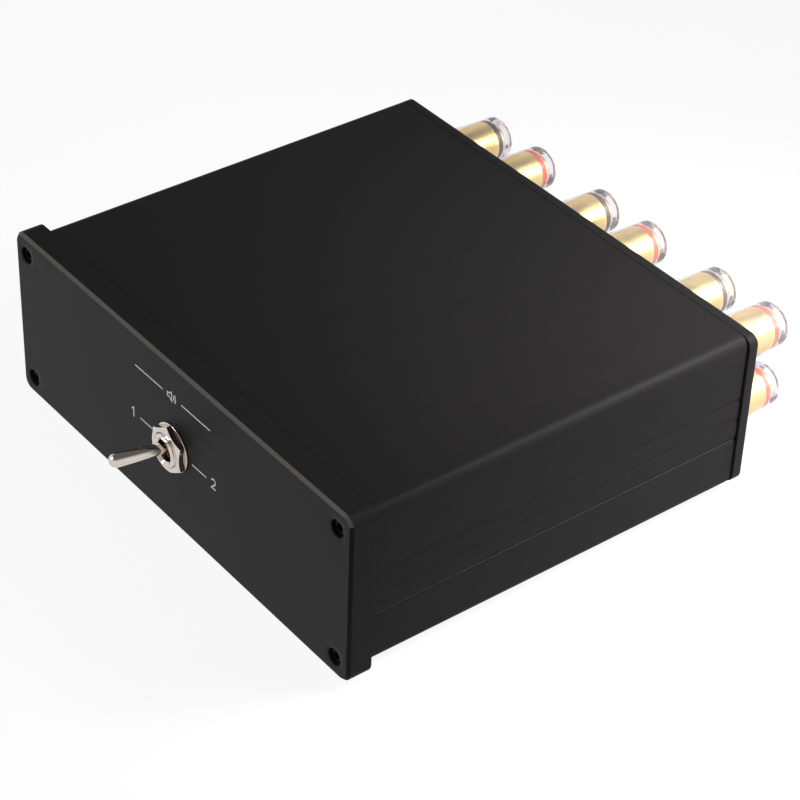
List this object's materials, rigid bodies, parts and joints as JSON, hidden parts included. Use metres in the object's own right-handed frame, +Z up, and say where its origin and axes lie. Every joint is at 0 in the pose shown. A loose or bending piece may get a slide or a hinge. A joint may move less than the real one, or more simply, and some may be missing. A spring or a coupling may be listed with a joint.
{
  "type": "audio source selector",
  "caption": "Low black metal box with a two-way toggle switch on its thick front panel and rows of clear-capped binding posts on the back, which switches one speaker or amplifier for another.",
  "frame": {"origin": "on the table under the feet, midway between the sides and midway between the lever's tip and the ends of the post caps", "axes": "+X to the right seen from the front, +Y to the rear where the posts stand out, +Z up"},
  "size_m": [0.1512, 0.1724, 0.0534],
  "materials": {
    "panel_anodised": "black anodised, fine blasted",
    "case_anodised": "black anodised, fine lines along the extrusion",
    "screw_black": "black oxide",
    "foot_rubber": "matt moulded rubber",
    "toggle_nickel": "bright nickel plating",
    "switch_steel": "plain zinc-plated steel",
    "switch_plastic": "moulded phenolic",
    "switch_contact": "silver-plated brass",
    "carriage_plastic": "moulded nylon",
    "post_gold": "bright gold plating",
    "collar_plastic": "milky moulded plastic",
    "insulator_plastic": "moulded nylon",
    "wire_red": "vinyl insulation",
    "wire_black": "vinyl insulation",
    "cap_clear": "clear polished acrylic",
    "ring_red": "moulded plastic",
    "ring_black": "moulded plastic"
  },
  "bodies": {
    "box": {"front_panel": "panel_anodised", "case_top": "case_anodised", "case_bottom": "case_anodised", "rear_panel": "panel_anodised", "panel_screws": "screw_black", "feet": "foot_rubber", "toggle_bushing": "toggle_nickel", "toggle_nut": "toggle_nickel", "toggle_washer": "toggle_nickel", "toggle_frame": "switch_steel", "toggle_housing": "switch_plastic", "toggle_terminals": "switch_contact", "post_stems": "post_gold", "post_collars": "collar_plastic", "post_insulators": "insulator_plastic", "post_tabs": "post_gold", "post_nuts": "post_gold", "wires_red": "wire_red", "wires_black": "wire_black"},
    "lever": {"toggle_lever": "toggle_nickel"},
    "carriage": {"toggle_carriage": "carriage_plastic", "toggle_plungers": "post_gold", "toggle_springs": "switch_steel"},
    "rockers": {"toggle_rockers": "switch_contact"},
    "ring_1": {"cap_ring_1": "ring_black"},
    "cap_1": {"cap_sleeve_1": "cap_clear", "cap_core_1": "post_gold"},
    "ring_2": {"cap_ring_2": "ring_red"},
    "cap_2": {"cap_sleeve_2": "cap_clear", "cap_core_2": "post_gold"},
    "ring_3": {"cap_ring_3": "ring_black"},
    "cap_3": {"cap_sleeve_3": "cap_clear", "cap_core_3": "post_gold"},
    "ring_4": {"cap_ring_4": "ring_red"},
    "cap_4": {"cap_sleeve_4": "cap_clear", "cap_core_4": "post_gold"},
    "ring_5": {"cap_ring_5": "ring_black"},
    "cap_5": {"cap_sleeve_5": "cap_clear", "cap_core_5": "post_gold"},
    "ring_6": {"cap_ring_6": "ring_red"},
    "cap_6": {"cap_sleeve_6": "cap_clear", "cap_core_6": "post_gold"},
    "ring_7": {"cap_ring_7": "ring_black"},
    "cap_7": {"cap_sleeve_7": "cap_clear", "cap_core_7": "post_gold"},
    "ring_8": {"cap_ring_8": "ring_red"},
    "cap_8": {"cap_sleeve_8": "cap_clear", "cap_core_8": "post_gold"},
    "ring_9": {"cap_ring_9": "ring_black"},
    "cap_9": {"cap_sleeve_9": "cap_clear", "cap_core_9": "post_gold"},
    "ring_10": {"cap_ring_10": "ring_red"},
    "cap_10": {"cap_sleeve_10": "cap_clear", "cap_core_10": "post_gold"},
    "ring_11": {"cap_ring_11": "ring_black"},
    "cap_11": {"cap_sleeve_11": "cap_clear", "cap_core_11": "post_gold"},
    "ring_12": {"cap_ring_12": "ring_red"},
    "cap_12": {"cap_sleeve_12": "cap_clear", "cap_core_12": "post_gold"}
  },
  "joints": [
    {"name": "toggle_throw", "type": "hinge", "parent": "box", "child": "lever", "pos_m": [0, -0.06711, 0.0273], "axis": [0, 0, 1], "range_deg": [0, 25.02]},
    {"name": "carriage_slide", "type": "slide", "parent": "box", "child": "carriage", "axis": [-1, 0, 0], "range_m": [0, 0.00368]},
    {"name": "contact_rock", "type": "hinge", "parent": "box", "child": "rockers", "pos_m": [0, -0.05221, 0.0273], "axis": [0, 0, 1], "range_deg": [-10.1, 0]},
    {"name": "cap_lift_1", "type": "slide", "parent": "box", "child": "ring_1", "axis": [0, 1, 0], "range_m": [0, 0.006]},
    {"name": "cap_turn_1", "type": "hinge", "parent": "ring_1", "child": "cap_1", "pos_m": [-0.05825, 0.08399, 0.03725], "axis": [0, 1, 0], "range_deg": [0, 2161]},
    {"name": "cap_lift_2", "type": "slide", "parent": "box", "child": "ring_2", "axis": [0, 1, 0], "range_m": [0, 0.006]},
    {"name": "cap_turn_2", "type": "hinge", "parent": "ring_2", "child": "cap_2", "pos_m": [-0.03815, 0.08399, 0.03725], "axis": [0, 1, 0], "range_deg": [0, 2161]},
    {"name": "cap_lift_3", "type": "slide", "parent": "box", "child": "ring_3", "axis": [0, 1, 0], "range_m": [0, 0.006]},
    {"name": "cap_turn_3", "type": "hinge", "parent": "ring_3", "child": "cap_3", "pos_m": [-0.01005, 0.08399, 0.03725], "axis": [0, 1, 0], "range_deg": [0, 2161]},
    {"name": "cap_lift_4", "type": "slide", "parent": "box", "child": "ring_4", "axis": [0, 1, 0], "range_m": [0, 0.006]},
    {"name": "cap_turn_4", "type": "hinge", "parent": "ring_4", "child": "cap_4", "pos_m": [0.01005, 0.08399, 0.03725], "axis": [0, 1, 0], "range_deg": [0, 2161]},
    {"name": "cap_lift_5", "type": "slide", "parent": "box", "child": "ring_5", "axis": [0, 1, 0], "range_m": [0, 0.006]},
    {"name": "cap_turn_5", "type": "hinge", "parent": "ring_5", "child": "cap_5", "pos_m": [0.03815, 0.08399, 0.03725], "axis": [0, 1, 0], "range_deg": [0, 2161]},
    {"name": "cap_lift_6", "type": "slide", "parent": "box", "child": "ring_6", "axis": [0, 1, 0], "range_m": [0, 0.006]},
    {"name": "cap_turn_6", "type": "hinge", "parent": "ring_6", "child": "cap_6", "pos_m": [0.05825, 0.08399, 0.03725], "axis": [0, 1, 0], "range_deg": [0, 2161]},
    {"name": "cap_lift_7", "type": "slide", "parent": "box", "child": "ring_7", "axis": [0, 1, 0], "range_m": [0, 0.006]},
    {"name": "cap_turn_7", "type": "hinge", "parent": "ring_7", "child": "cap_7", "pos_m": [-0.05825, 0.08399, 0.01735], "axis": [0, 1, 0], "range_deg": [0, 2161]},
    {"name": "cap_lift_8", "type": "slide", "parent": "box", "child": "ring_8", "axis": [0, 1, 0], "range_m": [0, 0.006]},
    {"name": "cap_turn_8", "type": "hinge", "parent": "ring_8", "child": "cap_8", "pos_m": [-0.03815, 0.08399, 0.01735], "axis": [0, 1, 0], "range_deg": [0, 2161]},
    {"name": "cap_lift_9", "type": "slide", "parent": "box", "child": "ring_9", "axis": [0, 1, 0], "range_m": [0, 0.006]},
    {"name": "cap_turn_9", "type": "hinge", "parent": "ring_9", "child": "cap_9", "pos_m": [-0.01005, 0.08399, 0.01735], "axis": [0, 1, 0], "range_deg": [0, 2161]},
    {"name": "cap_lift_10", "type": "slide", "parent": "box", "child": "ring_10", "axis": [0, 1, 0], "range_m": [0, 0.006]},
    {"name": "cap_turn_10", "type": "hinge", "parent": "ring_10", "child": "cap_10", "pos_m": [0.01005, 0.08399, 0.01735], "axis": [0, 1, 0], "range_deg": [0, 2161]},
    {"name": "cap_lift_11", "type": "slide", "parent": "box", "child": "ring_11", "axis": [0, 1, 0], "range_m": [0, 0.006]},
    {"name": "cap_turn_11", "type": "hinge", "parent": "ring_11", "child": "cap_11", "pos_m": [0.03815, 0.08399, 0.01735], "axis": [0, 1, 0], "range_deg": [0, 2161]},
    {"name": "cap_lift_12", "type": "slide", "parent": "box", "child": "ring_12", "axis": [0, 1, 0], "range_m": [0, 0.006]},
    {"name": "cap_turn_12", "type": "hinge", "parent": "ring_12", "child": "cap_12", "pos_m": [0.05825, 0.08399, 0.01735], "axis": [0, 1, 0], "range_deg": [0, 2161]}
  ],
  "couplings": [
    {"joint": "toggle_throw", "follows": "carriage_slide", "rad_per_m": 118.59},
    {"joint": "contact_rock", "follows": "carriage_slide", "rad_per_m": -47.434},
    {"joint": "cap_turn_1", "follows": "cap_lift_1", "rad_per_m": 6283.2},
    {"joint": "cap_turn_2", "follows": "cap_lift_2", "rad_per_m": 6283.2},
    {"joint": "cap_turn_3", "follows": "cap_lift_3", "rad_per_m": 6283.2},
    {"joint": "cap_turn_4", "follows": "cap_lift_4", "rad_per_m": 6283.2},
    {"joint": "cap_turn_5", "follows": "cap_lift_5", "rad_per_m": 6283.2},
    {"joint": "cap_turn_6", "follows": "cap_lift_6", "rad_per_m": 6283.2},
    {"joint": "cap_turn_7", "follows": "cap_lift_7", "rad_per_m": 6283.2},
    {"joint": "cap_turn_8", "follows": "cap_lift_8", "rad_per_m": 6283.2},
    {"joint": "cap_turn_9", "follows": "cap_lift_9", "rad_per_m": 6283.2},
    {"joint": "cap_turn_10", "follows": "cap_lift_10", "rad_per_m": 6283.2},
    {"joint": "cap_turn_11", "follows": "cap_lift_11", "rad_per_m": 6283.2},
    {"joint": "cap_turn_12", "follows": "cap_lift_12", "rad_per_m": 6283.2}
  ]
}
